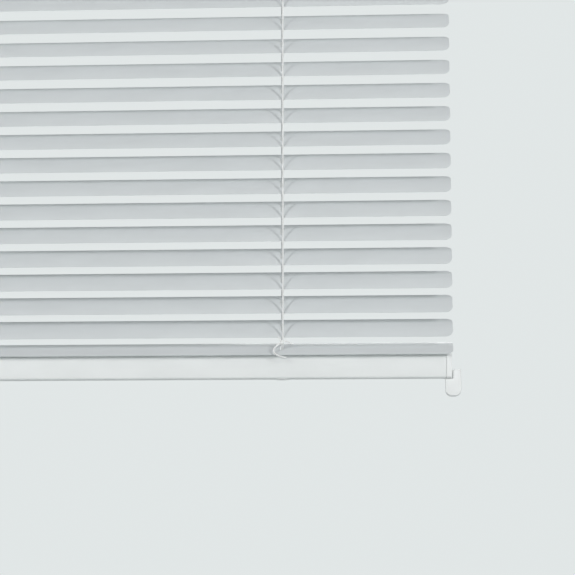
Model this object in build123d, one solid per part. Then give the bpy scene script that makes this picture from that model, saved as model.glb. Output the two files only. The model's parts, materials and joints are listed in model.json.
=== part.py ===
from build123d import *
import math
import os

# A venetian blind with 25 mm aluminium slats, in millimetres.
# X runs along the slats, Y towards the window, Z up. The origin is the centre of the four fixing holes,
# on the top face of the head brackets. The slats hang below, turned with their front edge down.

# Slats
slat_count = 17
slat_length = 590.0
slat_width = 25.0
slat_thickness = 0.2
slat_crown_radius = 48.0
slat_corner_radius = 6.5
slat_pitch = 21.5
slat_tilt = 45.0
first_slat_drop = 21.5
low_slat_pitch = 18.2
low_slat_tilt = 30.0

# Ladders and cords
ladder_inset = 151.0
slot_length = 10.0
slot_width = 3.2
cord_radius = 0.7
rung_radius = 0.4
cord_gap = 0.3
ladder_top_y = 6.8
ladder_bend_drop = 9.0
front_ladder_rise = 4.0
back_ladder_rise = 21.0
ladder_end_y = 2.2
ladder_end_rise = 4.0
lift_turn_radius = 2.0
lift_run_height = 2.5
lift_run_spread = 4.0

# Headrail
head_end_inset = 2.0
head_depth = 25.0
head_height = 25.0
head_wall = 0.6
head_lip = 3.0
head_corner_radius = 1.5

# Head brackets and their doors
bracket_wall = 1.2
bracket_length = 22.0
bracket_gap = 0.2
bracket_hole_radius = 2.2
bracket_hole_spacing = 12.0
door_thickness = 1.0
door_pin_radius = 0.9
door_catch = 1.6

# Cradles, tilt rod and tilt drums
cradle_length = 24.0
cradle_base = 1.2
cradle_wall = 1.6
cradle_wall_depth = 16.0
cradle_wall_top = 3.0
cradle_collar_length = 12.0
cradle_collar_drop = 0.8
cradle_slot_length = 5.0
cradle_slot_depth = 19.0
rod_flats = 5.0
rod_overhang = 14.0
drum_radius = 5.5
drum_flange_radius = 7.3
drum_flange = 1.0
drum_length = 15.0
journal_radius = 4.0
running_gap = 0.05
fit_gap = 0.1

# Tilter: worm wheel, worm shaft and case
tilter_inset = 88.0
tilter_length = 26.0
wheel_teeth = 20
gear_module = 0.5
wheel_width = 6.0
worm_pitch_radius = 2.2
worm_core_radius = 1.6
worm_turns = 6
worm_thread_root = 0.28
worm_thread_tip = 0.12
worm_slant = 35.0
worm_journal_radius = 2.0
worm_sleeve_radius = 4.0
worm_sleeve_end = 18.0
worm_eye_reach = 22.5
eye_radius = 3.0
eye_hole_radius = 1.55
eye_thickness = 0.8
mesh_gap = 0.15
addendum = 0.45
dedendum = 0.65

# Wand
wand_flats = 7.0
wand_length = 300.0
wand_bore_depth = 7.0
wand_end_radius = 1.5
hook_wire_radius = 0.6
hook_ring_radius = 4.2
hook_shank = 9.0

# Cord lock
lock_inset = 43.0
lock_length = 24.0
lock_wall = 3.0
lock_height = 19.0
lock_outlet_length = 8.0
lock_outlet_depth = 9.0
roller_radius = 2.6
roller_length = 12.0
roller_axle_radius = 1.2
roller_axle_length = 17.0
roller_offset = 3.0
roller_travel = 4.0
roller_slant = 30.0
roller_groove = 0.3
roller_grooves = 5

# Bottom rail, end caps and plugs
rail_end_inset = 6.3
rail_depth = 12.0
rail_height = 21.6
rail_wall = 0.6
rail_corner_radius = 2.0
rail_top_radius = 2.5
rail_drop = 5.2
cap_seam = 0.4
cap_end_inset = 1.3
cap_spigot = 8.0
cap_edge_radius = 0.8
cap_pin_radius = 1.6
cap_pin_height = 3.2
cap_pin_length = 6.2
plug_flange_radius = 6.0
plug_flange = 0.5
plug_stem_radius = 4.4
plug_stem_height = 12.0

# Hold-down brackets
hold_width = 13.9
hold_inner_inset = 7.15
hold_step = 7.6
hold_gap = 0.3
hold_shoulder = 5.9
hold_drop = 15.6
hold_front = 3.2
hold_back = 7.0
hold_corner_radius = 5.5
hold_edge_radius = 0.8

# Places worked out from the sizes above
half_slat = slat_length / 2
ladder_x = half_slat - ladder_inset
ladder_sides = (-ladder_x, ladder_x)
head_length = slat_length - 2 * head_end_inset
head_top = -bracket_wall - bracket_gap
head_bottom = head_top - head_height
head_floor = head_bottom + head_wall
rod_z = (head_top + head_bottom) / 2
slat_levels = [head_bottom - first_slat_drop - slat_pitch * i for i in range(slat_count - 1)]
low_slat_z = slat_levels[-1] - low_slat_pitch
rail_top = low_slat_z - rail_drop
rail_bottom = rail_top - rail_height
rail_end = half_slat - rail_end_inset
cap_end = half_slat - cap_end_inset
cap_pin_z = rail_bottom + cap_pin_height
edge_y = slat_width / 2 * math.cos(math.radians(slat_tilt))
edge_z = slat_width / 2 * math.sin(math.radians(slat_tilt))
ladder_y = edge_y + cord_gap + cord_radius
lift_run_z = head_floor + lift_run_height
plug_top = rail_bottom + plug_stem_height
tilter_x = -(head_length / 2 - tilter_inset)
lock_x = -(head_length / 2 - lock_inset)
roller_x = lock_x - roller_offset
roller_z = lift_run_z + cord_radius + cord_gap + roller_radius
wheel_radius = gear_module * wheel_teeth / 2
worm_lead = math.pi * gear_module
worm_half = (worm_turns + 1) * worm_lead / 2
slant = math.radians(worm_slant)
worm_axis = Vector(0, -math.sin(slant), -math.cos(slant))
worm_offset = Vector(0, -math.cos(slant), math.sin(slant)) * (wheel_radius + worm_pitch_radius)
worm_origin = Vector(tilter_x, 0, rod_z) + worm_offset
worm_frame = Plane(origin=worm_origin, x_dir=(1, 0, 0), z_dir=worm_axis)
eye_centre = worm_origin + worm_axis * worm_eye_reach


def save(name, *solids):
    """Write one node, of one solid or of several separate ones."""
    shape = solids[0] if len(solids) == 1 else Compound(children=list(solids))
    export_step(shape, f"parts/{name}.step")


def block(x_range, y_range, z_range):
    """A box between two limits on each axis."""
    size = [high - low for low, high in (x_range, y_range, z_range)]
    middle = [(high + low) / 2 for low, high in (x_range, y_range, z_range)]
    return Pos(*middle) * Box(*size)


def rod_along_x(radius, x_from, x_to, y=0.0, z=0.0):
    """A round bar along X."""
    bar = Cylinder(radius, x_to - x_from, rotation=(0, 90, 0))
    return Pos((x_from + x_to) / 2, y, z) * bar


def rod_along_y(radius, y_from, y_to, x=0.0, z=0.0):
    """A round bar along Y."""
    bar = Cylinder(radius, y_to - y_from, rotation=(90, 0, 0))
    return Pos(x, (y_from + y_to) / 2, z) * bar


def rod_along_z(radius, z_from, z_to, x=0.0, y=0.0):
    """A round bar along Z."""
    return Pos(x, y, (z_from + z_to) / 2) * Cylinder(radius, z_to - z_from)


def hex_bar(flats, x_from, x_to, z):
    """A hexagonal bar along X, given across its flats."""
    face = Plane.YZ * RegularPolygon(flats / 2, 6, major_radius=False)
    return Pos(x_from, 0, z) * extrude(face, amount=x_to - x_from)


def tube(points, radii, radius):
    """A round cord along straight runs joined by tangent arcs."""
    path = FilletPolyline(*points, radius=radii)
    section = Plane(origin=path @ 0, z_dir=path % 0) * Circle(radius)
    return sweep(section, path=path)


def mirrored(solid):
    """The same piece for the other end of the blind."""
    return mirror(solid, about=Plane.YZ)


# Slats
def slat_blank():
    """A level slat: a crowned strip with rounded corners and two punched slots."""
    centre = (0, -math.sqrt(slat_crown_radius**2 - (slat_width / 2) ** 2))
    half_angle = 2 * math.degrees(math.asin(slat_width / 2 / slat_crown_radius))
    upper = CenterArc(centre, slat_crown_radius, 90 - half_angle, 2 * half_angle)
    lower = CenterArc(centre, slat_crown_radius - slat_thickness, 90 - half_angle, 2 * half_angle)
    sides = [Line(upper @ 0, lower @ 0), Line(upper @ 1, lower @ 1)]
    sheet = extrude(Plane.YZ * make_face([upper, lower, *sides]), amount=slat_length, both=True)
    outline = RectangleRounded(slat_length, slat_width, slat_corner_radius)
    strip = sheet & extrude(outline, amount=slat_width, both=True)
    slot = extrude(SlotOverall(slot_length, slot_width, rotation=90), amount=slat_width, both=True)
    for x in ladder_sides:
        strip -= Pos(x, 0, 0) * slot
    return strip


def turned(solid, tilt, z):
    """Turn a level piece, front edge down, and bring it to its height."""
    return Pos(0, 0, z) * Rot(tilt, 0, 0) * solid


def rung_threads():
    """The four threads that carry one level slat, two in each ladder."""
    depth = slat_thickness + cord_gap + rung_radius
    spread = cord_radius + cord_gap + rung_radius
    front = -slat_width / 2
    back = slat_width / 2 - depth - rung_radius
    threads = []
    for x in ladder_sides:
        for side in (-spread, spread):
            threads.append(rod_along_y(rung_radius, front, back, x + side, -depth))
    return threads


# Ladder cords
def ladder_cord(x, side, low_z, rise):
    """One upright ladder cord, drawn in under the headrail and ending beside its tilt drum."""
    low = (x, side * ladder_y, low_z)
    bend = (x, side * ladder_y, head_bottom - ladder_bend_drop)
    neck = (x, side * ladder_top_y, head_bottom)
    top = (x, side * ladder_top_y, head_bottom + rise)
    radii = [4 * cord_radius, 2 * cord_radius]
    return tube([low, bend, neck, top], radii, cord_radius)


def ladder_end(x, side):
    """The last stretch of a ladder cord, through the lowest slat's slot and into the bottom rail."""
    start_z = slat_levels[-1] + side * edge_z - 2 * cord_gap - cord_radius
    start = (x, side * ladder_y, start_z)
    bend = (x, side * ladder_end_y, low_slat_z + ladder_end_rise)
    end = (x, side * ladder_end_y, plug_top + cord_gap)
    return tube([start, bend, end], [4 * cord_radius], cord_radius)


def lift_cord(x, end_y):
    """One lift cord, from its plug up through the slots and along the headrail to the cord lock."""
    low = (x, 0, plug_top + cord_gap)
    turn = (x, 0, lift_run_z)
    end = (roller_x, end_y, lift_run_z)
    return tube([low, turn, end], [lift_turn_radius], cord_radius)


# The loose cord end over the lowest slat: offsets from the right ladder and the slat's axis
tail_route = [
    (9.0, -6.5, 3.8),
    (4.9, -7.6, 6.8),
    (0.3, -7.9, 5.6),
    (-4.4, -9.0, 2.2),
    (-7.9, -10.8, -2.4),
    (-6.4, -13.4, -6.8),
    (-2.0, -13.4, -9.2),
    (3.0, -12.6, -11.0),
]
tail_arc_share = 0.45


def tail_radii(points):
    """Each corner's arc, as large as its two runs allow."""
    radii = []
    for before, corner, after in zip(points, points[1:], points[2:]):
        run_in = Vector(corner) - Vector(before)
        run_out = Vector(after) - Vector(corner)
        shorter = min(run_in.length, run_out.length)
        half_turn = math.radians(run_in.get_angle(run_out) / 2)
        radii.append(tail_arc_share * shorter / math.tan(half_turn))
    return radii


def cord_tail():
    """The free end of the ladder cord, curled over the lowest slat."""
    points = [(ladder_x + x, y, low_slat_z + z) for x, y, z in tail_route]
    radii = tail_radii(points)
    print("cord tail radii", [round(r, 2) for r in radii])
    tail = tube(points, radii, cord_radius)
    length = tail.volume / (math.pi * cord_radius**2)
    print("cord tail length", round(length, 2))
    return tail


# Headrail and what is fixed in it
def headrail():
    """A roll-formed channel, open at the top between two lips, with holes for what passes through."""
    outer = Rectangle(head_depth, head_height)
    outer = fillet(outer.vertices().group_by(Axis.Y)[0], head_corner_radius)
    inner = Rectangle(head_depth - 2 * head_wall, head_height - 2 * head_wall)
    inner = fillet(inner.vertices().group_by(Axis.Y)[0], head_corner_radius - head_wall)
    mouth = Pos(0, head_height / 2) * Rectangle(head_depth - 2 * head_wall - 2 * head_lip, 4 * head_wall)
    face = Plane.YZ * (outer - inner - mouth)
    rail = Pos(0, 0, rod_z) * extrude(face, amount=head_length / 2, both=True)
    for x in ladder_sides:
        rail -= Pos(x, 0, head_bottom) * extrude(collar_outline(fit_gap), amount=2 * head_wall, both=True)
    outlet = Rectangle(lock_outlet_length, lock_outlet_depth)
    rail -= Pos(lock_x - roller_offset, 0, head_bottom) * extrude(outlet, amount=2 * head_wall, both=True)
    sleeve = worm_frame * Cylinder(worm_sleeve_radius + fit_gap, 2 * worm_sleeve_end)
    return rail - sleeve


def collar_outline(gap):
    """The outline of a cradle's collar, grown by a gap."""
    length = cradle_collar_length + 2 * gap
    depth = cradle_slot_depth + 2 * cradle_wall + 2 * gap
    return RectangleRounded(length, depth, cradle_wall + gap)


def cradle(x):
    """A moulded cradle: a base clipped in the headrail's floor, and two walls that carry a tilt drum."""
    inside = head_depth / 2 - head_wall - fit_gap
    base_top = head_floor + cradle_base
    half = cradle_length / 2
    corner = head_corner_radius
    foot = RectangleRounded(cradle_length, 2 * (inside - corner), corner)
    base = Pos(0, 0, head_floor) * extrude(foot, cradle_base)
    collar_low = head_bottom - cradle_collar_drop
    base += Pos(0, 0, collar_low) * extrude(collar_outline(0), base_top - collar_low)
    wall_inner = drum_length / 2 + cord_gap
    for side in (-1, 1):
        near, far = sorted((side * wall_inner, side * (wall_inner + cradle_wall)))
        wall = block(
            (near, far),
            (-cradle_wall_depth / 2, cradle_wall_depth / 2),
            (base_top, rod_z + cradle_wall_top),
        )
        base += wall
    bore = journal_radius + running_gap
    base -= rod_along_x(bore, -half, half, 0, rod_z)
    base -= block((-half, half), (-bore, bore), (rod_z, rod_z + 2 * cradle_wall_top))
    slot = SlotOverall(cradle_slot_depth, cradle_slot_length, rotation=90)
    base -= Pos(0, 0, collar_low) * extrude(slot, base_top - collar_low)
    base -= cord_window(half)
    return Pos(x, 0, 0) * base


def cord_window(half_length):
    """The way for the two lift cords along the headrail, above its floor."""
    spare = cord_radius + 2 * cord_gap
    low, high = sorted((0.0, lift_run_spread))
    return block(
        (-half_length, half_length),
        (low - spare, high + spare),
        (lift_run_z - spare, lift_run_z + spare),
    )


# Tilt rod, drums and tilter
def tilt_drum(x):
    """A flanged drum on the tilt rod, with a journal at each end."""
    half = drum_length / 2
    drum = rod_along_x(drum_radius, -half, half)
    for side in (-1, 1):
        near, far = sorted((side * (half - drum_flange), side * half))
        drum += rod_along_x(drum_flange_radius, near, far)
        near, far = sorted((side * half, side * cradle_length / 2))
        drum += rod_along_x(journal_radius, near, far)
    drum -= hex_bar(rod_flats + 2 * running_gap, -cradle_length, cradle_length, 0)
    return Pos(x, 0, rod_z) * drum


def worm_wheel():
    """The spur wheel on the tilt rod that the worm turns, with a journal at each side."""
    outer = wheel_radius + addendum
    root = wheel_radius - dedendum
    clear = outer + addendum
    gap_top = math.pi * gear_module / 4 + 1.5 * mesh_gap
    gap_root = gap_top - gear_module / 2
    wheel = Circle(outer)
    corners = [(root, -gap_root), (clear, -gap_top), (clear, gap_top), (root, gap_root)]
    gap = make_face(Polyline(*corners, close=True))
    first = math.degrees(math.atan2(worm_offset.Z, worm_offset.Y))
    for tooth in range(wheel_teeth):
        wheel -= Rot(0, 0, first + tooth * 360 / wheel_teeth) * gap
    solid = extrude(Plane.YZ * wheel, amount=wheel_width / 2, both=True)
    half = tilter_length / 2
    solid += rod_along_x(journal_radius, -half, half)
    solid -= hex_bar(rod_flats + 2 * running_gap, -tilter_length, tilter_length, 0)
    return Pos(tilter_x, 0, rod_z) * solid


def worm_thread():
    """The worm's single thread, left-handed, so that one turn moves the wheel on by one tooth."""
    tip = worm_pitch_radius + addendum
    root = worm_core_radius - mesh_gap
    section = Polyline(
        (root, -worm_thread_root),
        (tip, -worm_thread_tip),
        (tip, worm_thread_tip),
        (root, worm_thread_root),
        close=True,
    )
    path = Helix(worm_lead, worm_turns * worm_lead, root, lefthand=True)
    thread = sweep(Plane.XZ * make_face(section), path=path, is_frenet=True)
    return Pos(0, 0, -worm_turns * worm_lead / 2) * Rot(0, 0, -90) * thread


def worm_shaft():
    """The worm with its journal and the eye that the wand hangs from."""
    shaft = Cylinder(worm_core_radius, 2 * worm_half) + worm_thread()
    shaft += rod_along_z(worm_journal_radius, worm_half, worm_eye_reach - eye_hole_radius - hook_wire_radius / 2)
    shaft += rod_along_x(eye_radius, -eye_thickness / 2, eye_thickness / 2, 0, worm_eye_reach)
    shaft -= rod_along_x(eye_hole_radius, -eye_radius, eye_radius, 0, worm_eye_reach)
    return worm_frame * shaft


def tilter_case():
    """The closed case round the worm and its wheel, with a sleeve out through the headrail's front."""
    inside = head_depth / 2 - head_wall - fit_gap
    half = tilter_length / 2 - cradle_wall
    top = head_top - head_wall - fit_gap
    case = block(
        (tilter_x - half, tilter_x + half),
        (-inside, inside),
        (head_floor, top),
    )
    lower_corners = case.edges().filter_by(Axis.X).group_by(Axis.Z)[0]
    case = fillet(lower_corners, head_corner_radius)
    case += worm_frame * rod_along_z(worm_sleeve_radius, 0, worm_sleeve_end)
    wheel_room = wheel_radius + gear_module + 2 * cord_gap
    wheel_half = wheel_width / 2 + cord_gap
    case -= rod_along_x(wheel_room, tilter_x - wheel_half, tilter_x + wheel_half, 0, rod_z)
    bore = journal_radius + running_gap
    case -= rod_along_x(bore, tilter_x - tilter_length, tilter_x + tilter_length, 0, rod_z)
    worm_room = worm_pitch_radius + gear_module + cord_gap
    case -= worm_frame * rod_along_z(worm_room, -worm_half - cord_gap, worm_half + cord_gap)
    case -= worm_frame * rod_along_z(worm_journal_radius + running_gap, 0, 2 * worm_sleeve_end)
    return case - Pos(tilter_x, 0, 0) * cord_window(tilter_length)


# Wand
def wand_hook():
    """The wire ring through the worm's eye, with a shank held in the wand."""
    ring_z = eye_centre.Z - hook_ring_radius
    ring = Pos(tilter_x, eye_centre.Y, ring_z) * Torus(
        hook_ring_radius, hook_wire_radius, rotation=(90, 0, 0)
    )
    shank_top = ring_z - hook_ring_radius
    return ring + rod_along_z(hook_wire_radius, shank_top - hook_shank, shank_top, tilter_x, eye_centre.Y)


def tilt_wand():
    """A hexagonal wand with a rounded lower end, bored for the hook's shank."""
    top = eye_centre.Z - 2 * hook_ring_radius - hook_shank + wand_bore_depth - cord_gap
    outline = RegularPolygon(wand_flats / 2, 6, major_radius=False)
    wand = Pos(0, 0, top - wand_length) * extrude(outline, wand_length)
    wand = chamfer(wand.faces().sort_by(Axis.Z)[0].edges(), wand_end_radius)
    wand = chamfer(wand.faces().sort_by(Axis.Z)[-1].edges(), wand_end_radius / 2)
    wand -= rod_along_z(hook_wire_radius + running_gap, top - wand_bore_depth, top)
    return Pos(tilter_x, eye_centre.Y, 0) * wand


# Cord lock
def roller_path():
    """The direction in which the locking roller climbs."""
    return Vector(math.sin(math.radians(roller_slant)), 0, math.cos(math.radians(roller_slant)))


def cord_lock_case():
    """The case of the cord lock, with slanted slots for the roller's axle and an outlet below."""
    inside = head_depth / 2 - head_wall - fit_gap
    half = lock_length / 2
    top = head_floor + lock_height
    case = block((lock_x - half, lock_x + half), (-inside, inside), (head_floor, top))
    lower_corners = case.edges().filter_by(Axis.X).group_by(Axis.Z)[0]
    case = fillet(lower_corners, head_corner_radius)
    room = roller_length / 2 + cord_gap
    low = lift_run_z - cord_radius - cord_gap
    case -= block(
        (lock_x - half + lock_wall, lock_x + half - lock_wall),
        (-room, room),
        (low, top + lock_wall),
    )
    case -= Pos(lock_x, 0, 0) * cord_window(half + lock_wall) & block(
        (lock_x, lock_x + lock_length),
        (-inside, inside),
        (head_floor, top),
    )
    outlet = Rectangle(lock_outlet_length, lock_outlet_depth)
    case -= Pos(roller_x, 0, head_floor) * extrude(outlet, amount=lock_wall)
    slot_radius = roller_axle_radius + running_gap
    slot_reach = roller_axle_length / 2 + cord_gap
    start = Vector(roller_x, 0, roller_z)
    end = start + roller_path() * roller_travel
    middle = (start + end) / 2
    slot = Box(2 * slot_radius, 2 * slot_reach, roller_travel, rotation=(0, roller_slant, 0))
    case -= Pos(*middle) * slot
    for point in (start, end):
        case -= rod_along_y(slot_radius, -slot_reach, slot_reach, point.X, point.Z)
    return case


def lock_roller():
    """The grooved roller that pinches the lift cords, on its axle."""
    half = roller_length / 2
    roller = rod_along_y(roller_radius, -half, half)
    spacing = roller_length / (roller_grooves + 1)
    for groove in range(roller_grooves):
        y = -half + (groove + 1) * spacing
        ring = rod_along_y(2 * roller_radius, y - roller_groove, y + roller_groove)
        roller -= ring - rod_along_y(roller_radius - roller_groove, -half, half)
    roller += rod_along_y(roller_axle_radius, -roller_axle_length / 2, roller_axle_length / 2)
    return Pos(roller_x, 0, roller_z) * roller


# Head brackets
bracket_out = head_length / 2 + bracket_gap + bracket_wall
bracket_in = bracket_out - bracket_length
bracket_back = head_depth / 2 + bracket_gap + bracket_wall
bracket_front = head_depth / 2 + bracket_gap
bracket_low = head_bottom - bracket_wall
hole_x = (bracket_in + bracket_out - bracket_wall) / 2
door_pin_x = bracket_out - door_pin_radius - bracket_wall
door_pin_y = -bracket_front - door_pin_radius - running_gap
door_lug = 2 * door_pin_radius + bracket_wall


def end_bracket():
    """The right box bracket: top, bottom, back and end walls, with lugs for the door's pin."""
    across = (bracket_in, bracket_out)
    deep = (-bracket_front, bracket_back)
    bracket = block(across, deep, (-bracket_wall, 0))
    bracket += block(across, deep, (bracket_low, head_bottom))
    bracket += block(across, (bracket_back - bracket_wall, bracket_back), (bracket_low, 0))
    bracket += block((bracket_out - bracket_wall, bracket_out), deep, (bracket_low, 0))
    for low in (-bracket_wall, bracket_low):
        lug = rod_along_z(door_lug / 2, low, low + bracket_wall, door_pin_x, door_pin_y)
        lug += block(
            (door_pin_x - door_lug / 2, door_pin_x + door_lug / 2),
            (door_pin_y, -bracket_front),
            (low, low + bracket_wall),
        )
        bracket += lug
    pin_hole = door_pin_radius + running_gap
    bracket -= rod_along_z(pin_hole, bracket_low - bracket_wall, bracket_wall, door_pin_x, door_pin_y)
    for y in (-bracket_hole_spacing / 2, bracket_hole_spacing / 2):
        bracket -= rod_along_z(bracket_hole_radius, -2 * bracket_wall, bracket_wall, hole_x, y)
    return bracket


def bracket_door():
    """The right bracket's door: a plate on an upright pin, with a finger lip at its free edge."""
    low = head_bottom + bracket_gap
    high = -bracket_wall - bracket_gap
    plate_y = (door_pin_y - door_thickness / 2, door_pin_y + door_thickness / 2)
    door = block((bracket_in, door_pin_x), plate_y, (low, high))
    door += rod_along_z(door_pin_radius, bracket_low, 0, door_pin_x, door_pin_y)
    lip_y = (plate_y[0] - door_catch, plate_y[0])
    lip_middle = (low + high) / 2
    door += block(
        (bracket_in, bracket_in + door_thickness),
        lip_y,
        (lip_middle - bracket_hole_spacing / 2, lip_middle + bracket_hole_spacing / 2),
    )
    return door


# Bottom rail
def rail_outline():
    """The bottom rail's section: a flat-sided bar with rounded corners."""
    bar = Rectangle(rail_depth, rail_height)
    bar = fillet(bar.vertices().group_by(Axis.Y)[0], rail_corner_radius)
    return fillet(bar.vertices().group_by(Axis.Y)[-1], rail_top_radius)


rail_middle = rail_bottom + rail_height / 2


def bottom_rail():
    """The hollow bottom rail, slotted above for the cords and bored below for the plugs."""
    outline = rail_outline()
    face = Plane.YZ * (outline - offset(outline, -rail_wall))
    rail = Pos(0, 0, rail_middle) * extrude(face, amount=rail_end, both=True)
    slot = extrude(SlotOverall(slot_length, slot_width, rotation=90), amount=rail_depth / 2)
    for x in ladder_sides:
        rail -= Pos(x, 0, rail_top - rail_depth / 2 + rail_wall) * slot
        bore_z = (rail_bottom - rail_wall, rail_bottom + 2 * rail_wall)
        rail -= rod_along_z(plug_stem_radius + fit_gap, *bore_z, x)
    return rail


def rail_cap():
    """The right end cap: a flange, a spigot in the rail and a pin for the hold-down bracket."""
    outline = rail_outline()
    flange_start = rail_end + cap_seam
    flange = Pos(flange_start, 0, rail_middle) * extrude(Plane.YZ * outline, cap_end - flange_start)
    flange = fillet(flange.faces().sort_by(Axis.X)[-1].edges(), cap_edge_radius)
    spigot = Plane.YZ * offset(outline, -rail_wall - fit_gap)
    cap = flange + Pos(rail_end - cap_spigot, 0, rail_middle) * extrude(spigot, cap_spigot + cap_seam)
    return cap + rod_along_x(cap_pin_radius, cap_end, cap_end + cap_pin_length, 0, cap_pin_z)


def rail_plug(x):
    """A plug under the bottom rail that holds the cords' ends."""
    plug = rod_along_z(plug_stem_radius, rail_bottom, plug_top, x)
    button = rod_along_z(plug_flange_radius, rail_bottom - plug_flange, rail_bottom, x)
    button = fillet(button.edges().group_by(Axis.Z)[0], plug_flange / 2)
    return plug + button


def hold_down():
    """The right hold-down bracket: a rounded block stepped round the rail's end, slotted for the pin."""
    inner = half_slat - hold_inner_inset
    outer = inner + hold_width
    step = inner + hold_step
    ledge = rail_bottom - hold_gap
    shoulder = rail_bottom + hold_shoulder
    foot = rail_bottom - hold_drop
    corners = [
        (inner, ledge),
        (step, ledge),
        (step, shoulder),
        (outer, shoulder),
        (outer, foot),
        (inner, foot),
    ]
    face = make_face(Polyline(*corners, close=True))
    lower = face.vertices().group_by(Axis.Y)[0]
    face = fillet(lower, hold_corner_radius)
    bracket = extrude(Plane.XZ * face, hold_front)
    bracket += extrude(Plane.XZ * face, -hold_back)
    bracket = fillet(bracket.faces().sort_by(Axis.Y)[0].edges(), hold_edge_radius)
    slot_radius = cap_pin_radius + hold_gap
    slot_end = cap_end + cap_pin_length + hold_gap
    bracket -= rod_along_x(slot_radius, inner, slot_end, 0, cap_pin_z)
    bracket -= block((inner, slot_end), (-slot_radius, slot_radius), (cap_pin_z, shoulder + slot_radius))
    return bracket


def main():
    os.makedirs("parts", exist_ok=True)
    save("headrail", headrail())
    bracket = end_bracket()
    door = bracket_door()
    cap = rail_cap()
    hold = hold_down()
    for side, place in (("right", lambda solid: solid), ("left", mirrored)):
        save(f"end_bracket_{side}", place(bracket))
        save(f"bracket_door_{side}", place(door))
        save(f"rail_cap_{side}", place(cap))
        save(f"hold_down_{side}", place(hold))
    save("cradle_left", cradle(-ladder_x))
    save("cradle_right", cradle(ladder_x))
    save("tilter_case", tilter_case())
    save("cord_lock_case", cord_lock_case())
    save("lock_roller", lock_roller())
    rod_from = tilter_x - rod_overhang
    save("tilt_rod", hex_bar(rod_flats, rod_from, ladder_x + rod_overhang, rod_z))
    save("tilt_drums", *[tilt_drum(x) for x in ladder_sides])
    save("worm_wheel", worm_wheel())
    save("worm_shaft", worm_shaft())
    save("wand_hook", wand_hook())
    save("tilt_wand", tilt_wand())
    save("bottom_rail", bottom_rail())
    save("rail_plugs", *[rail_plug(x) for x in ladder_sides])
    front_low = slat_levels[-1] - edge_z - cord_radius
    back_low = slat_levels[-1] + edge_z - cord_radius
    save("ladder_front_cords", *[ladder_cord(x, -1, front_low, front_ladder_rise) for x in ladder_sides])
    save("ladder_back_cords", *[ladder_cord(x, 1, back_low, back_ladder_rise) for x in ladder_sides])
    save("ladder_ends", *[ladder_end(x, side) for x in ladder_sides for side in (-1, 1)])
    save("lift_cords", lift_cord(-ladder_x, 0), lift_cord(ladder_x, lift_run_spread))
    save("cord_tail", cord_tail())
    blank = slat_blank()
    threads = rung_threads()
    for number, z in enumerate(slat_levels, 1):
        save(f"slat_{number:02d}", turned(blank, slat_tilt, z))
        save(f"rung_{number:02d}", *[turned(thread, slat_tilt, z) for thread in threads])
    save(f"slat_{slat_count:02d}", turned(blank, low_slat_tilt, low_slat_z))


main()
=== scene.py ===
"""A venetian blind with 25 mm aluminium slats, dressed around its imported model, in metres."""

import json
import math

import bpy
from mathutils import Matrix, Vector

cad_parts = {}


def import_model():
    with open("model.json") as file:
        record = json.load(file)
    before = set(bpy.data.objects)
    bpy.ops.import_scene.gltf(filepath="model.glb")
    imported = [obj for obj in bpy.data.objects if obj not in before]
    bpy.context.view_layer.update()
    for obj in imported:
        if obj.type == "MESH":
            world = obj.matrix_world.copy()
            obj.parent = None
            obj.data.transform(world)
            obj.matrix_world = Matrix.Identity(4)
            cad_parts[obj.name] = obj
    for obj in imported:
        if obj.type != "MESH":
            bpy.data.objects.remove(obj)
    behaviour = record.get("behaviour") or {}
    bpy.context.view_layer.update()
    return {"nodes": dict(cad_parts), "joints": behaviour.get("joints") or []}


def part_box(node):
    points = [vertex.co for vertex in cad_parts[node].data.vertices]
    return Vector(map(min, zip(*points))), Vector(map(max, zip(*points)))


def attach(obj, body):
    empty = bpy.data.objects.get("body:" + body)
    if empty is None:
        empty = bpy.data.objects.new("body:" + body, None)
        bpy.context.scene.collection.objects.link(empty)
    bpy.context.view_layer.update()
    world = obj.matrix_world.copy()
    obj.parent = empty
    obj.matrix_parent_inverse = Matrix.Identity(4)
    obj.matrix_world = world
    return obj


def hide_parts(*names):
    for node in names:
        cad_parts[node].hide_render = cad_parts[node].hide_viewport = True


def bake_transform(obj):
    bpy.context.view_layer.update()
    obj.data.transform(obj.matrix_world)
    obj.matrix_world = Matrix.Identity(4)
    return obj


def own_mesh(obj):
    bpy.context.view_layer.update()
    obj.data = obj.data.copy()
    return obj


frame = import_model()
bpy.ops.object.select_all(action="DESELECT")
joints = {joint["name"]: joint for joint in frame["joints"]}

MM = 0.001
SIDES = (-1, 1)

# What counts as one place, and as along an axis
MERGE = 0.001 * MM
NEAR = 0.01 * MM
ALONG = 0.9

# Corners of the nodes that the pieces follow
slat_low, slat_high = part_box("slat_01")
roller_low, roller_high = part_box("lock_roller")
rail_low, rail_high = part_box("bottom_rail")
cap_low, cap_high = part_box("rail_cap_right")
hold_low, hold_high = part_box("hold_down_right")

# Slats
SLAT_COUNT = 17
SLAT_LENGTH = slat_high.x - slat_low.x
SLAT_WIDTH = 25 * MM
SLAT_THICKNESS = 0.2 * MM
SLAT_CROWN_RADIUS = 48 * MM
SLAT_CORNER_RADIUS = 6.5 * MM
SLAT_STRIPS = 18
SLAT_TILT = math.radians(45)
LOW_SLAT_TILT = math.radians(30)
SLOT_LENGTH = 10 * MM
SLOT_WIDTH = 3.2 * MM
SLOT_ROUNDING = 0.98
PUNCH_DEPTH = 4 * MM
SLAT_AXES = [joints[f"slat_{number:02d}_tilt"]["pos_m"][2] for number in range(1, SLAT_COUNT + 1)]
*SLAT_LEVELS, LOW_SLAT_Z = SLAT_AXES
SLAT_TILTS = [SLAT_TILT] * len(SLAT_LEVELS) + [LOW_SLAT_TILT]

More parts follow.
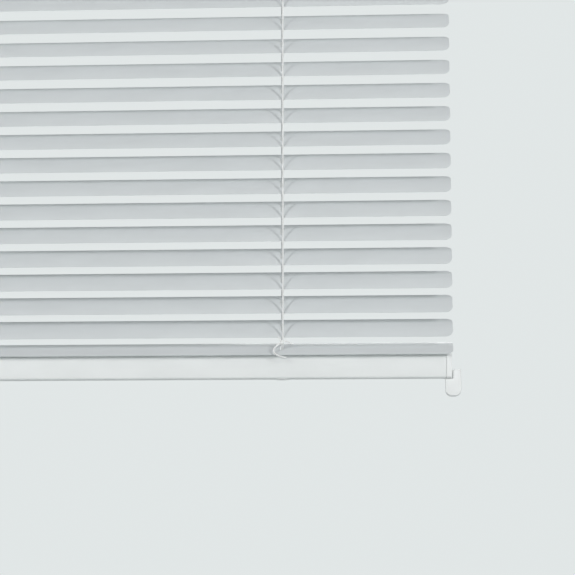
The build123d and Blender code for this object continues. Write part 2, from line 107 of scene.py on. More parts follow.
# Ladders and cords
CORD_RADIUS = 0.7 * MM
UPRIGHT_RADIUS = 0.62 * MM
CORD_GAP = 0.3 * MM
CORD_SMOOTHING = 60
LADDER_X = 144 * MM
LADDER_Y = SLAT_WIDTH / 2 * math.cos(SLAT_TILT) + CORD_GAP + CORD_RADIUS
LADDER_NECK_Y = 8.0 * MM
LADDER_NECK_DROP = 1 * MM
LADDER_BEND_DROP = 9 * MM
LADDER_FRONT_RISE = 4 * MM
LADDER_BACK_RISE = 21 * MM
LADDER_END_Y = 2.2 * MM
LADDER_END_RISE = 4 * MM
EDGE_REACH = SLAT_WIDTH / 2 * math.sin(SLAT_TILT)
HEAD_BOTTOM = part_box("headrail")[0].z
PLUG_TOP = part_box("rail_plugs")[1].z
LIFT_RUN_Z = HEAD_BOTTOM + 3.1 * MM
LIFT_RUN_SPREAD = 4 * MM
LIFT_END_X = (roller_low.x + roller_high.x) / 2

# How far each cord lies to the right of its ladder's middle
FRONT_CORD_X = 1.3 * MM
LIFT_CORD_X = 0.7 * MM
BACK_CORD_X = -0.7 * MM

# The way of the ladder cords' ends down to the lowest slat's slot, in mm:
# distance from the slot and height above it
FRONT_END_WAY = [(9.0, 7.6), (7.4, 5.2), (2.8, 2.4)]
BACK_END_WAY = [(7.5, 12.0), (2.2, 4.0)]

# Rungs. The loops at both ends are shares of the spread, then mm behind the slat's edge and above its level
RUNG_RADIUS = 0.3 * MM
RUNG_SPREAD = 1.4 * MM
RUNG_RISE = 0.6 * MM
RUNG_FRONT_LOOP = [(0.15, -0.75, 0.9), (0.55, -0.75, 0.1), (0.9, 0.3, -0.5)]
RUNG_BACK_LOOP = [(0.9, -1.6, -0.5), (0.3, 0.2, -0.5)]

# Bottom rail
RAIL_WALL = 0.6 * MM
RAIL_CORNER_RADIUS = 2 * MM
RAIL_TOP_RADIUS = 2.5 * MM
PLUG_BORE_RADIUS = 4.5 * MM

# Caps on the rail's ends
CAP_START = rail_high.x + 0.4 * MM
CAP_END = CAP_START + 4.6 * MM
CAP_EDGE_RADIUS = 0.8 * MM
SPIGOT_INSET = 0.7 * MM
PIN_RADIUS = 1.6 * MM
PIN_ROOT = 1 * MM
PIN_Z = rail_low.z + 3.2 * MM
PIN_EDGE_RADIUS = 0.5 * MM

# Hold-down brackets
HOLD_GAP = 0.3 * MM
HOLD_STEP = CAP_END + 0.4 * MM
HOLD_LEDGE = rail_low.z - HOLD_GAP
HOLD_SHOULDER = rail_low.z + 7.8 * MM
HOLD_CORNER_RADIUS = 5.5 * MM
HOLD_SHOULDER_RADIUS = 1.2 * MM
HOLD_EDGE_RADIUS = 0.8 * MM
PIN_SLOT_RADIUS = PIN_RADIUS + HOLD_GAP
PIN_SLOT_END = cap_high.x + HOLD_GAP
PIN_SLOT_ROUNDING = 0.98
CUT_OVERLAP = 1 * MM

# The loose cord end, in mm from the right ladder and the lowest slat's axis
TAIL_ROUTE = [
    (9.0, -6.5, 3.8),
    (4.9, -7.6, 6.8),
    (0.3, -7.9, 5.6),
    (-4.4, -9.0, 2.2),
    (-7.5, -10.8, -2.0),
    (-5.6, -13.4, -5.8),
    (-1.0, -13.4, -7.8),
    (4.4, -12.6, -9.2),
]
KNOT_PLACE = 2
KNOT_SIZE = 0.5 * MM
KNOT_POINTS = 24
KNOT_CORD_RADIUS = 0.55 * MM
STUB_ROUTE = [(0.2, 0.0, 0.4), (-1.0, -0.5, 1.6), (-2.2, -0.6, 3.2), (-3.6, -0.4, 4.2)]


# Working with Blender's tools
def only(obj):
    """Select one object alone and make it the active one."""
    bpy.ops.object.select_all(action="DESELECT")
    obj.select_set(True)
    bpy.context.view_layer.objects.active = obj
    return obj


def settle(obj):
    """Put a piece's place, turn and size in its mesh."""
    only(obj)
    bpy.ops.object.transform_apply(location=True, rotation=True, scale=True)
    return obj


def new_piece(name):
    """Name the primitive or copy that was just added and put its place in its mesh."""
    obj = bpy.context.view_layer.objects.active
    obj.name = name
    obj.data.name = name
    return settle(obj)


def block(name, low, high):
    """A box between two corners, as a start for a piece."""
    bpy.ops.mesh.primitive_cube_add(size=1, location=(Vector(low) + Vector(high)) / 2)
    bpy.context.object.scale = Vector(high) - Vector(low)
    return new_piece(name)


def upright_plate(name, x, width, height):
    """A flat plate that stands across Y, as a start for a strip or a punched outline."""
    bpy.ops.mesh.primitive_plane_add(size=1, location=(x, 0, 0), rotation=(math.pi / 2, 0, 0))
    bpy.context.object.scale = (width, height, 1)
    return new_piece(name)


def edit_all(obj):
    """Go into edit mode with the whole mesh selected."""
    only(obj)
    bpy.ops.object.mode_set(mode="EDIT")
    bpy.ops.mesh.select_all(action="SELECT")


def edit_none(obj, kind):
    """Set what is picked in edit mode, faces or edges, and leave it with nothing selected."""
    only(obj)
    bpy.ops.object.mode_set(mode="EDIT")
    bpy.ops.mesh.select_mode(type=kind)
    bpy.ops.mesh.select_all(action="DESELECT")
    edit_done()


def edit_done():
    """Leave edit mode."""
    bpy.ops.object.mode_set(mode="OBJECT")


def select_faces(obj, test):
    """In edit mode, select the faces whose centre and normal pass a test."""
    edit_none(obj, "FACE")
    for face in obj.data.polygons:
        face.select = test(face.center, face.normal)
    bpy.ops.object.mode_set(mode="EDIT")


def select_edges(obj, test):
    """In edit mode, select the edges whose middle and direction pass a test."""
    edit_none(obj, "EDGE")
    points = [v.co for v in obj.data.vertices]
    for edge in obj.data.edges:
        start, end = (points[v] for v in edge.vertices)
        edge.select = test((start + end) / 2, (end - start).normalized())
    bpy.ops.object.mode_set(mode="EDIT")


def round_edges(obj, test, radius, segments):
    """Round the edges that pass a test."""
    select_edges(obj, test)
    bpy.ops.mesh.bevel(offset=radius, segments=segments, affect="EDGES")
    edit_done()


def round_corners(obj, radius, segments):
    """Round the corners of a flat plate."""
    edit_all(obj)
    bpy.ops.mesh.bevel(offset=radius, segments=segments, affect="VERTICES")
    edit_done()


def slice_mesh(obj, place, way):
    """Cut a mesh's faces along a plane, with nothing taken away."""
    edit_all(obj)
    bpy.ops.mesh.bisect(plane_co=place, plane_no=way)
    edit_done()


def drop_faces(obj, test):
    """Delete the faces that pass a test."""
    select_faces(obj, test)
    bpy.ops.mesh.delete(type="FACE")
    edit_done()


def pull_faces(obj, test, travel, inset=0):
    """Extrude the faces that pass a test, drawn in by an inset first where one is given."""
    select_faces(obj, test)
    if inset:
        bpy.ops.mesh.inset(thickness=inset)
    bpy.ops.mesh.extrude_region_move(TRANSFORM_OT_translate={"value": travel})
    edit_done()


def weld(obj):
    """Merge the points that lie in one place."""
    edit_all(obj)
    bpy.ops.mesh.remove_doubles(threshold=MERGE)
    edit_done()


def apply_modifier(obj, kind, **settings):
    """Add a modifier, set it and apply it."""
    only(obj)
    modifier = obj.modifiers.new(kind.lower(), kind)
    for setting, value in settings.items():
        setattr(modifier, setting, value)
    bpy.ops.object.modifier_apply(modifier=modifier.name)


def combine(obj, other, operation):
    """Take another shape out of a piece, or add it."""
    apply_modifier(obj, "BOOLEAN", operation=operation, solver="EXACT", object=other)
    bpy.data.objects.remove(other)


def cut(obj, cutter):
    """Take a cutter's shape out of a piece."""
    combine(obj, cutter, "DIFFERENCE")


def smooth(obj, degrees=30):
    """Smooth shading with the sharp edges kept."""
    only(obj)
    bpy.ops.object.shade_smooth_by_angle(angle=math.radians(degrees))
    return obj


def duplicate(obj):
    """A copy with its own mesh."""
    only(obj)
    bpy.ops.object.duplicate()
    return bpy.context.view_layer.objects.active


def placed_copy(obj, name, tilt, z):
    """A copy turned about the slat's axis and brought to its height."""
    copy = duplicate(obj)
    copy.rotation_euler = (tilt, 0, 0)
    copy.location = (0, 0, z)
    return new_piece(name)


def mirrored(obj, name):
    """The same piece for the blind's other end, with its faces turned outwards again."""
    duplicate(obj).scale = (-1, 1, 1)
    copy = new_piece(name)
    weld(copy)
    edit_all(copy)
    bpy.ops.mesh.normals_make_consistent(inside=False)
    edit_done()
    return smooth(copy)


def joined(name, pieces):
    """Several pieces made into one mesh."""
    only(pieces[0])
    for piece in pieces:
        piece.select_set(True)
    bpy.ops.object.join()
    return new_piece(name)


def cord_line(name, points, radius):
    """A round cord along a smooth line through the space between its points."""
    curve = bpy.data.curves.new(name, "CURVE")
    curve.dimensions = "3D"
    spline = curve.splines.new("NURBS")
    spline.points.add(len(points) - 1)
    for point, place in zip(spline.points, points):
        point.co = (*place, 1)
    spline.order_u = min(3, len(points))
    spline.use_endpoint_u = True
    spline.use_smooth = True
    curve.resolution_u = 10
    curve.bevel_depth = radius
    curve.bevel_resolution = 3
    curve.use_fill_caps = True
    cord = bpy.data.objects.new(name, curve)
    bpy.context.collection.objects.link(cord)
    return cord


def cord_mesh(name, lines, radius):
    """Several cords as one mesh."""
    cords = [cord_line(f"{name}_{number}", line, radius) for number, line in enumerate(lines)]
    for cord in cords:
        only(cord)
        bpy.ops.object.convert(target="MESH")
    tubes = joined(name, cords)
    weld(tubes)
    return smooth(tubes, CORD_SMOOTHING)


# Finishes
def node_material(name, colour, roughness):
    """A material with its main shader, colour and roughness, and the coordinates that patterns read."""
    material = bpy.data.materials.new(name)
    material.use_nodes = True
    shader = material.node_tree.nodes["Principled BSDF"]
    shader.inputs["Base Color"].default_value = (*colour, 1)
    shader.inputs["Roughness"].default_value = roughness
    place = material.node_tree.nodes.new("ShaderNodeTexCoord")
    return material, shader, place.outputs["Object"]


def noise(material, place, scale, detail, stretch=(1, 1, 1)):
    """A noise pattern on object coordinates, stretched on each axis."""
    nodes, links = material.node_tree.nodes, material.node_tree.links
    mapping = nodes.new("ShaderNodeMapping")
    mapping.inputs["Scale"].default_value = stretch
    texture = nodes.new("ShaderNodeTexNoise")
    texture.inputs["Scale"].default_value = scale
    texture.inputs["Detail"].default_value = detail
    links.new(place, mapping.inputs["Vector"])
    links.new(mapping.outputs["Vector"], texture.inputs["Vector"])
    return texture.outputs["Fac"]


TINT_START = 0.35
TINT_END = 0.65


def tint(material, shader, pattern, dark, light):
    """Vary the colour between two shades with a pattern."""
    nodes, links = material.node_tree.nodes, material.node_tree.links
    ramp = nodes.new("ShaderNodeValToRGB")
    ramp.color_ramp.elements[0].position = TINT_START
    ramp.color_ramp.elements[0].color = (*dark, 1)
    ramp.color_ramp.elements[1].position = TINT_END
    ramp.color_ramp.elements[1].color = (*light, 1)
    links.new(pattern, ramp.inputs["Fac"])
    links.new(ramp.outputs["Color"], shader.inputs["Base Color"])


def vary_roughness(material, shader, pattern, low, high):
    """Vary the roughness between two values with a pattern."""
    nodes, links = material.node_tree.nodes, material.node_tree.links
    spread = nodes.new("ShaderNodeMapRange")
    spread.inputs["To Min"].default_value = low
    spread.inputs["To Max"].default_value = high
    links.new(pattern, spread.inputs["Value"])
    links.new(spread.outputs["Result"], shader.inputs["Roughness"])


def bump(material, shader, pattern, depth, strength):
    """A fine relief from a pattern."""
    nodes, links = material.node_tree.nodes, material.node_tree.links
    relief = nodes.new("ShaderNodeBump")
    relief.inputs["Strength"].default_value = strength
    relief.inputs["Distance"].default_value = depth
    links.new(pattern, relief.inputs["Height"])
    links.new(relief.outputs["Normal"], shader.inputs["Normal"])


def shade(colour, share):
    """A darker shade of a colour."""
    return tuple(share * part for part in colour)


def enamel(name, colour, roughness):
    """Stove enamel on rolled metal: faint dust, soft gloss and a fine orange-peel skin."""
    material, shader, place = node_material(name, colour, roughness)
    shader.inputs["Coat Weight"].default_value = 0.15
    shader.inputs["Coat Roughness"].default_value = 0.2
    dust = noise(material, place, scale=60, detail=6, stretch=(0.35, 1, 1))
    tint(material, shader, dust, shade(colour, 0.965), colour)
    vary_roughness(material, shader, dust, roughness - 0.05, roughness + 0.08)
    skin = noise(material, place, scale=900, detail=3, stretch=(0.5, 1, 1))
    bump(material, shader, skin, depth=0.05 * MM, strength=0.12)
    return material


def moulding(name, colour, roughness):
    """Moulded plastic with a fine sparked grain and a slightly cloudy colour."""
    material, shader, place = node_material(name, colour, roughness)
    cloud = noise(material, place, scale=45, detail=4)
    tint(material, shader, cloud, shade(colour, 0.97), colour)
    vary_roughness(material, shader, cloud, roughness - 0.04, roughness + 0.06)
    grain = noise(material, place, scale=2600, detail=2)
    bump(material, shader, grain, depth=0.05 * MM, strength=0.15)
    return material


def zinc(name, colour, roughness):
    """Zinc-plated steel with drawn lines along the bar."""
    material, shader, place = node_material(name, colour, roughness)
    shader.inputs["Metallic"].default_value = 1.0
    drawn = noise(material, place, scale=700, detail=4, stretch=(0.03, 1, 1))
    tint(material, shader, drawn, shade(colour, 0.85), colour)
    vary_roughness(material, shader, drawn, roughness - 0.08, roughness + 0.12)
    bump(material, shader, drawn, depth=0.02 * MM, strength=0.2)
    return material


def clear_plastic(name, colour, roughness):
    """Extruded wand plastic, glossy and lightly streaked along its length."""
    material, shader, place = node_material(name, colour, roughness)
    shader.inputs["Transmission Weight"].default_value = 0.55
    shader.inputs["IOR"].default_value = 1.49
    streak = noise(material, place, scale=500, detail=3, stretch=(1, 1, 0.03))
    tint(material, shader, streak, shade(colour, 0.96), colour)
    vary_roughness(material, shader, streak, roughness - 0.03, roughness + 0.08)
    bump(material, shader, streak, depth=0.03 * MM, strength=0.15)
    return material


def braid(name, colour, roughness):
    """Braided polyester: slanting plaits round the cord, with a soft fuzz."""
    material, shader, place = node_material(name, colour, roughness)
    nodes, links = material.node_tree.nodes, material.node_tree.links
    shader.inputs["Sheen Weight"].default_value = 0.3
    shader.inputs["Sheen Roughness"].default_value = 0.5
    plait = nodes.new("ShaderNodeTexWave")
    plait.wave_type = "BANDS"
    plait.bands_direction = "DIAGONAL"
    plait.inputs["Scale"].default_value = 420
    plait.inputs["Distortion"].default_value = 1.5
    plait.inputs["Detail"].default_value = 1.0
    links.new(place, plait.inputs["Vector"])
    tint(material, shader, plait.outputs["Fac"], shade(colour, 0.9), colour)
    bump(material, shader, plait.outputs["Fac"], depth=0.12 * MM, strength=0.5)
    return material


# The slat enamel is darker than the rail's partly as painted shade: the tilted slats get less light than the
# rail, and part of that is put into their colour.
SHADED_SLAT_PAINT = enamel("slat_enamel_painted_shade", (0.685, 0.714, 0.724), 0.38)
RAIL_PAINT = enamel("rail_enamel", (0.825, 0.845, 0.84), 0.48)
WHITE_PLASTIC = moulding("white_moulding", (0.87, 0.885, 0.88), 0.45)
GEAR_PLASTIC = moulding("acetal", (0.78, 0.78, 0.745), 0.4)
STEEL = zinc("bright_zinc", (0.62, 0.63, 0.64), 0.32)
WAND_PLASTIC = clear_plastic("wand_plastic", (0.88, 0.91, 0.91), 0.12)
CORD = braid("white_braid", (0.93, 0.935, 0.925), 0.8)


def dress(obj, material, body=None, nodes=()):
    """Give a piece its finish, the body it rides on and the nodes it stands for."""
    obj.data.materials.clear()
    obj.data.materials.append(material)
    if body:
        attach(obj, body)
    if nodes:
        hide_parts(*nodes)
    return obj


# Slats
def slot_cutter(x):
    """A prism with the outline of one punched slot, standing across the flat strip."""
    cutter = upright_plate("slot_cutter", x, SLOT_WIDTH, SLOT_LENGTH)
    round_corners(cutter, SLOT_WIDTH / 2 * SLOT_ROUNDING, 6)
    apply_modifier(cutter, "SOLIDIFY", thickness=PUNCH_DEPTH, offset=0)
    return cutter


def level_slat():
    """One level slat: a strip with round corners and punched slots, rolled to its crown."""
    half_turn = math.asin(SLAT_WIDTH / 2 / SLAT_CROWN_RADIUS)
    rolled_width = 2 * half_turn * SLAT_CROWN_RADIUS
    crown = SLAT_CROWN_RADIUS * (1 - math.cos(half_turn))
    slat = upright_plate("level_slat", 0, SLAT_LENGTH, rolled_width)
    round_corners(slat, SLAT_CORNER_RADIUS, 8)
    for strip in range(1, SLAT_STRIPS):
        height = rolled_width * (strip / SLAT_STRIPS - 0.5)
        slice_mesh(slat, (0, 0, height), (0, 0, 1))
    apply_modifier(slat, "SOLIDIFY", thickness=SLAT_THICKNESS, offset=0)
    for side in SIDES:
        cut(slat, slot_cutter(side * LADDER_X))
    apply_modifier(slat, "SIMPLE_DEFORM", deform_method="BEND", deform_axis="X", angle=2 * half_turn)
    slat.rotation_euler = (-math.pi / 2, 0, 0)
    slat.location = (0, 0, crown - SLAT_THICKNESS / 2)
    return smooth(settle(slat))


def rung_thread(x, spread):
    """One thread under a level slat, looped to the ladder's cords at both ends."""
    edge = SLAT_WIDTH / 2
    front = [
        (x + FRONT_CORD_X + share * spread, -edge + behind * MM, above * MM)
        for share, behind, above in RUNG_FRONT_LOOP
    ]
    middle = [(x + spread, place, RUNG_RISE) for place in (-edge / 2, edge / 2)]
    back = [
        (x + BACK_CORD_X + share * spread, edge + behind * MM, above * MM)
        for share, behind, above in RUNG_BACK_LOOP
    ]
    return front + middle + back


def rung_set():
    """The threads that carry one level slat, two in each ladder."""
    lines = [rung_thread(side * LADDER_X, hand * RUNG_SPREAD) for side in SIDES for hand in SIDES]
    return cord_mesh("rung_set", lines, RUNG_RADIUS)


def hang_slats():
    """All the slats with the threads that carry them; the lowest lies on the rail and has none."""
    slat = level_slat()
    threads = rung_set()
    for number, (tilt, z) in enumerate(zip(SLAT_TILTS, SLAT_AXES), 1):
        body = f"slat_{number:02d}"
        hung = placed_copy(slat, f"{body}_strip", tilt, z)
        dress(hung, SHADED_SLAT_PAINT, body, [body])
        if number < SLAT_COUNT:
            rungs = placed_copy(threads, f"rung_{number:02d}_threads", tilt, z)
            dress(rungs, CORD, body, [f"rung_{number:02d}"])
    bpy.data.objects.remove(slat)
    bpy.data.objects.remove(threads)


# Ladders, lift cords and the loose end
def ladder(body, side, shift, rise):
    """The uprights of both ladders on one side: a stretch that folds up with the slats, and the necks."""
    y = side * LADDER_Y
    neck_y = side * LADDER_NECK_Y
    top_z = SLAT_LEVELS[0] + side * EDGE_REACH
    low_z = SLAT_LEVELS[-1] + side * EDGE_REACH - CORD_RADIUS
    drops = []
    necks = []
    for hand in SIDES:
        x = hand * LADDER_X + shift
        drops.append([(x, y, low_z), (x, y, top_z)])
        necks.append(
            [
                (x, y, top_z),
                (x, y, HEAD_BOTTOM - LADDER_BEND_DROP),
                (x, neck_y, HEAD_BOTTOM - LADDER_NECK_DROP),
                (x, neck_y, HEAD_BOTTOM + rise / 2),
                (x, neck_y, HEAD_BOTTOM + rise),
            ]
        )
    folding = cord_mesh(f"{body}_uprights", drops, UPRIGHT_RADIUS)
    dress(folding, CORD, body, [f"{body}_cords"])
    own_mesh(folding)
    neck = cord_mesh(f"{body}_necks", necks, UPRIGHT_RADIUS)
    dress(neck, CORD, body, [f"{body}_cords"])


def ladder_ends(name, side, shift, way):
    """The last stretch of the uprights, from the lowest rung through the lowest slat into the bottom rail."""
    y = side * LADDER_Y
    end_y = side * LADDER_END_Y
    start_z = SLAT_LEVELS[-1] + side * EDGE_REACH - CORD_RADIUS
    ends = []
    for hand in SIDES:
        x = hand * LADDER_X
        end = [(x + shift, y, start_z)]
        for reach, rise in way:
            end.append((x + shift * reach * MM / LADDER_Y, side * reach * MM, LOW_SLAT_Z + rise * MM))
        end.append((x, end_y, LOW_SLAT_Z - LADDER_END_RISE))
        end.append((x, end_y, PLUG_TOP))
        ends.append(end)
    cords = cord_mesh(name, ends, UPRIGHT_RADIUS)
    dress(cords, CORD, nodes=["ladder_ends"])
    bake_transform(cords)


def lift_cords():
    """The lift cords: the drops that shorten as the slats rise, and the runs to the cord lock."""
    drops = []
    runs = []
    for side in SIDES:
        x = side * LADDER_X + LIFT_CORD_X
        end_y = LIFT_RUN_SPREAD if side > 0 else 0
        drops.append([(x, 0, PLUG_TOP), (x, 0, HEAD_BOTTOM)])
        runs.append([(x, 0, HEAD_BOTTOM), (x, 0, LIFT_RUN_Z), (LIFT_END_X, end_y, LIFT_RUN_Z)])
    drop = cord_mesh("lift_cord_drops", drops, CORD_RADIUS)
    dress(drop, CORD, "headrail", ["lift_cords"])
    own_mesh(drop)
    run = cord_mesh("lift_cord_runs", runs, CORD_RADIUS)
    dress(run, CORD, "headrail", ["lift_cords"])


def cord_knot(place):
    """The knot on the ladder's cord, a trefoil, with the short end that stands out of it."""
    loop = []
    for step in range(KNOT_POINTS + 1):
        turn = 2 * math.pi * step / KNOT_POINTS
        across = math.sin(turn) + 2 * math.sin(2 * turn)
        up = math.cos(turn) - 2 * math.cos(2 * turn)
        deep = -math.sin(3 * turn)
        loop.append(place + KNOT_SIZE * Vector((across, deep, up)))
    stub = [place + MM * Vector(offset) for offset in STUB_ROUTE]
    knot = cord_mesh("cord_knot", [loop, stub], KNOT_CORD_RADIUS)
    return dress(knot, CORD, "slat_17", ["cord_tail"])


def loose_end():
    """The free end of the ladder cord, curled over the lowest slat."""
    places = [Vector((LADDER_X + x * MM, y * MM, LOW_SLAT_Z + z * MM)) for x, y, z in TAIL_ROUTE]
    tail = cord_line("loose_cord_end", places, CORD_RADIUS)
    dress(tail, CORD, "slat_17", ["cord_tail"])
    cord_knot(places[KNOT_PLACE])


# Bottom rail
def rail_bar(name, start, end):
    """A bar with the bottom rail's outline: flat sides and round corners."""
    middle = (rail_low.z + rail_high.z) / 2
    bar = block(name, (start, rail_low.y, rail_low.z), (end, rail_high.y, rail_high.z))
    round_edges(bar, lambda at, way: abs(way.x) > ALONG and at.z > middle, RAIL_TOP_RADIUS, 8)
    round_edges(bar, lambda at, way: abs(way.x) > ALONG and at.z < rail_low.z + NEAR, RAIL_CORNER_RADIUS, 8)
    return bar


def bottom_rail():
    """The roll-formed bottom rail: a hollow bar with round corners, slotted and bored for the cords."""
    rail = rail_bar("bottom_rail_bar", rail_low.x, rail_high.x)
    drop_faces(rail, lambda at, facing: abs(facing.x) > ALONG)
    apply_modifier(rail, "SOLIDIFY", thickness=RAIL_WALL, offset=-1)
    for side in SIDES:
        x = side * LADDER_X
        slot = slot_cutter(x)
        slot.rotation_euler = (math.pi / 2, 0, 0)
        slot.location = (0, 0, rail_high.z)
        cut(rail, settle(slot))
        bpy.ops.mesh.primitive_cylinder_add(
            radius=PLUG_BORE_RADIUS, depth=PUNCH_DEPTH, location=(x, 0, rail_low.z)
        )
        cut(rail, new_piece("plug_bore"))
    smooth(rail)
    dress(rail, RAIL_PAINT, "bottom_rail", ["bottom_rail"])


def cap_pin():
    """The pin on the right end cap, with a rounded tip."""
    root = CAP_END - PIN_ROOT
    tip = cap_high.x
    bpy.ops.mesh.primitive_cylinder_add(
        vertices=32,
        radius=PIN_RADIUS,
        depth=tip - root,
        location=((root + tip) / 2, 0, PIN_Z),
        rotation=(0, math.pi / 2, 0),
    )
    pin = new_piece("cap_pin")
    round_edges(pin, lambda at, way: at.x > tip - NEAR, PIN_EDGE_RADIUS, 3)
    return pin


def rail_cap():
    """The right end cap: a flange with a soft outer edge, the spigot inside the rail and the pin."""
    cap = rail_bar("rail_cap_right_moulding", CAP_START, CAP_END)
    round_edges(cap, lambda at, way: at.x > CAP_END - NEAR and abs(way.x) < ALONG, CAP_EDGE_RADIUS, 4)
    spigot = (cap_low.x - CAP_START, 0, 0)
    pull_faces(cap, lambda at, facing: facing.x < -ALONG, spigot, SPIGOT_INSET)
    combine(cap, cap_pin(), "UNION")
    return smooth(cap)


def pin_slot():
    """The slot for the cap's pin, open at the top, with a round floor."""
    slot = block(
        "pin_slot",
        (hold_low.x - CUT_OVERLAP, -PIN_SLOT_RADIUS, PIN_Z - PIN_SLOT_RADIUS),
        (PIN_SLOT_END, PIN_SLOT_RADIUS, HOLD_SHOULDER + CUT_OVERLAP),
    )
    floor_radius = PIN_SLOT_ROUNDING * PIN_SLOT_RADIUS
    round_edges(slot, lambda at, way: at.z < PIN_Z and abs(way.x) > ALONG, floor_radius, 8)
    return slot


def hold_down():
    """The right hold-down: a round-cornered foot with a shoulder beside the cap, slotted for the pin."""
    corner_low = (hold_low.x, hold_low.y, hold_low.z)
    corner_high = (hold_high.x, hold_high.y, HOLD_LEDGE)
    bracket = block("hold_down_right_moulding", corner_low, corner_high)
    round_edges(
        bracket, lambda at, way: at.z < hold_low.z + NEAR and abs(way.y) > ALONG, HOLD_CORNER_RADIUS, 10
    )
    slice_mesh(bracket, (HOLD_STEP, 0, 0), (1, 0, 0))
    rise = (0, 0, HOLD_SHOULDER - HOLD_LEDGE)
    pull_faces(bracket, lambda at, facing: facing.z > ALONG and at.x > HOLD_STEP, rise)
    round_edges(
        bracket, lambda at, way: at.z > HOLD_SHOULDER - NEAR and abs(way.y) > ALONG, HOLD_SHOULDER_RADIUS, 5
    )
    select_faces(bracket, lambda at, facing: facing.y < -ALONG)
    bpy.ops.mesh.dissolve_faces()
    bpy.ops.mesh.bevel(offset=HOLD_EDGE_RADIUS, segments=4, affect="EDGES")
    edit_done()
    cut(bracket, pin_slot())
    return smooth(bracket)


def rail_ends():
    """The caps and the hold-down brackets at both ends of the bottom rail."""
    ends = [(rail_cap(), "rail_cap", "bottom_rail"), (hold_down(), "hold_down", "headrail")]
    for piece, kind, body in ends:
        other = mirrored(piece, f"{kind}_left_moulding")
        dress(piece, WHITE_PLASTIC, body, [f"{kind}_right"])
        dress(other, WHITE_PLASTIC, body, [f"{kind}_left"])


# CAD nodes that keep their own shape
NODE_FINISHES = {
    "rail_paint": (RAIL_PAINT, ["headrail", "end_bracket_left", "end_bracket_right"]),
    "white_plastic": (
        WHITE_PLASTIC,
        [
            "bracket_door_left",
            "bracket_door_right",
            "cradle_left",
            "cradle_right",
            "rail_plugs",
            "tilter_case",
            "cord_lock_case",
        ],
    ),
    "gear_plastic": (GEAR_PLASTIC, ["tilt_drums", "worm_wheel", "worm_shaft"]),
    "steel": (STEEL, ["tilt_rod", "wand_hook", "lock_roller"]),
    "wand_plastic": (WAND_PLASTIC, ["tilt_wand"]),
}


def finish_nodes():
    """Give the nodes that keep their own shape their finish."""
    for slot, (material, names) in NODE_FINISHES.items():
        for name in names:
            dress(frame["nodes"][name], material)


# Stage
BACKDROP = (0.755, 0.795, 0.795)
FLOOR_Z = -0.8
FLOOR_SIZE = 14
FLOOR_GLOW = 0.8
FLOOR_FADE_START = 1.0
FLOOR_FADE_END = 3.0
FILL_COLOUR = (0.96, 0.99, 1.0)
FILL_STRENGTH = 0.16
LAMP_DISTANCE = 3.0
LAMP_TARGET = Vector((0.1, 0, -0.25))

# Name, azimuth and elevation in degrees, width and height in metres, and power in watts
LAMPS = [
    ("right_lamp", 46, 16, 0.16, 1.2, 36.1),
    ("left_lamp", -36, 16, 0.16, 1.2, 33.2),
    ("top_lamp", 0, 50, 1.6, 1.0, 5),
    ("back_lamp", 165, 20, 2.0, 1.4, 28),
]

CAMERA_PLACE = (0.2400, -1.6287, -0.5612)
CAMERA_YAW = math.radians(3.205)
CAMERA_PITCH = math.radians(7.945)
CAMERA_ROLL = math.radians(-0.038)
CAMERA_LENS = 115.83


def seen_rays(nodes, links):
    """One for the rays that show a surface: from the camera, off gloss or through clear plastic."""
    path = nodes.new("ShaderNodeLightPath")
    seen = path.outputs["Is Camera Ray"]
    for kind in ("Is Glossy Ray", "Is Transmission Ray"):
        either = nodes.new("ShaderNodeMath")
        either.operation = "MAXIMUM"
        links.new(seen, either.inputs[0])
        links.new(path.outputs[kind], either.inputs[1])
        seen = either.outputs["Value"]
    return seen


def floor():
    """A plain pale floor that keeps the blind's shadow and fades into the background further out."""
    bpy.ops.mesh.primitive_plane_add(size=FLOOR_SIZE, location=(0, 0, FLOOR_Z))
    plane = new_piece("floor")
    material, shader, place = node_material("pale_floor", BACKDROP, 0.9)
    nodes, links = material.node_tree.nodes, material.node_tree.links
    glow = nodes.new("ShaderNodeEmission")
    glow.inputs["Color"].default_value = (*BACKDROP, 1)
    reach = nodes.new("ShaderNodeVectorMath")
    reach.operation = "LENGTH"
    links.new(place, reach.inputs[0])
    fade = nodes.new("ShaderNodeMapRange")
    fade.inputs["From Min"].default_value = FLOOR_FADE_START
    fade.inputs["From Max"].default_value = FLOOR_FADE_END
    fade.inputs["To Min"].default_value = FLOOR_GLOW
    links.new(reach.outputs["Value"], fade.inputs["Value"])
    share = nodes.new("ShaderNodeMath")
    share.operation = "MULTIPLY"
    links.new(seen_rays(nodes, links), share.inputs[0])
    links.new(fade.outputs["Result"], share.inputs[1])
    blend = nodes.new("ShaderNodeMixShader")
    links.new(share.outputs["Value"], blend.inputs["Fac"])
    links.new(shader.outputs["BSDF"], blend.inputs[1])
    links.new(glow.outputs["Emission"], blend.inputs[2])
    links.new(blend.outputs["Shader"], nodes["Material Output"].inputs["Surface"])
    plane.data.materials.append(material)


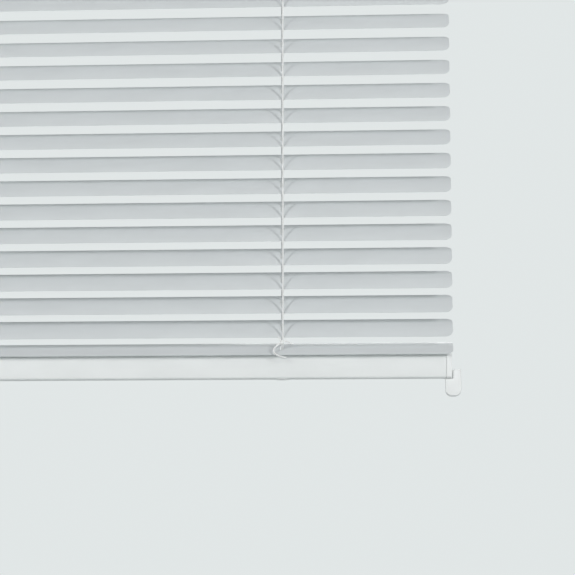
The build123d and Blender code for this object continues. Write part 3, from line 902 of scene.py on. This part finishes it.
def world():
    """An even fill light, with a pale background where the camera, gloss and clear plastic see it."""
    scene_world = bpy.data.worlds.new("surroundings")
    bpy.context.scene.world = scene_world
    scene_world.use_nodes = True
    nodes, links = scene_world.node_tree.nodes, scene_world.node_tree.links
    fill = nodes["Background"]
    fill.inputs["Color"].default_value = (*FILL_COLOUR, 1)
    fill.inputs["Strength"].default_value = FILL_STRENGTH
    seen = nodes.new("ShaderNodeBackground")
    seen.inputs["Color"].default_value = (*BACKDROP, 1)
    seen.inputs["Strength"].default_value = 1.0
    blend = nodes.new("ShaderNodeMixShader")
    links.new(seen_rays(nodes, links), blend.inputs["Fac"])
    links.new(fill.outputs["Background"], blend.inputs[1])
    links.new(seen.outputs["Background"], blend.inputs[2])
    links.new(blend.outputs["Shader"], nodes["World Output"].inputs["Surface"])


def lamp(name, azimuth, elevation, width, height, power):
    """A soft rectangular lamp, aimed near the blind's middle."""
    turn, rise = math.radians(azimuth), math.radians(elevation)
    way = Vector((math.sin(turn) * math.cos(rise), -math.cos(turn) * math.cos(rise), math.sin(rise)))
    data = bpy.data.lights.new(name, "AREA")
    data.shape = "RECTANGLE"
    data.size = width
    data.size_y = height
    data.energy = power
    obj = bpy.data.objects.new(name, data)
    obj.location = LAMP_TARGET + LAMP_DISTANCE * way
    obj.rotation_euler = (-way).to_track_quat("-Z", "Y").to_euler()
    bpy.context.collection.objects.link(obj)


def camera():
    """The camera at the photograph's viewing angle."""
    data = bpy.data.cameras.new("view")
    data.sensor_width = 36
    data.lens = CAMERA_LENS
    data.clip_end = 60
    obj = bpy.data.objects.new("view", data)
    yaw = Matrix.Rotation(CAMERA_YAW, 4, "Z")
    pitch = Matrix.Rotation(math.pi / 2 + CAMERA_PITCH, 4, "X")
    roll = Matrix.Rotation(CAMERA_ROLL, 4, "Z")
    obj.matrix_world = Matrix.Translation(CAMERA_PLACE) @ yaw @ pitch @ roll
    bpy.context.collection.objects.link(obj)
    bpy.context.scene.camera = obj


hang_slats()
ladder("ladder_front", -1, FRONT_CORD_X, LADDER_FRONT_RISE)
ladder("ladder_back", 1, BACK_CORD_X, LADDER_BACK_RISE)
ladder_ends("ladder_end_front", -1, FRONT_CORD_X, FRONT_END_WAY)
ladder_ends("ladder_end_back", 1, BACK_CORD_X, BACK_END_WAY)
lift_cords()
loose_end()
bottom_rail()
rail_ends()
finish_nodes()
floor()
world()
for settings in LAMPS:
    lamp(*settings)
camera()
bpy.context.scene.view_settings.view_transform = "Standard"
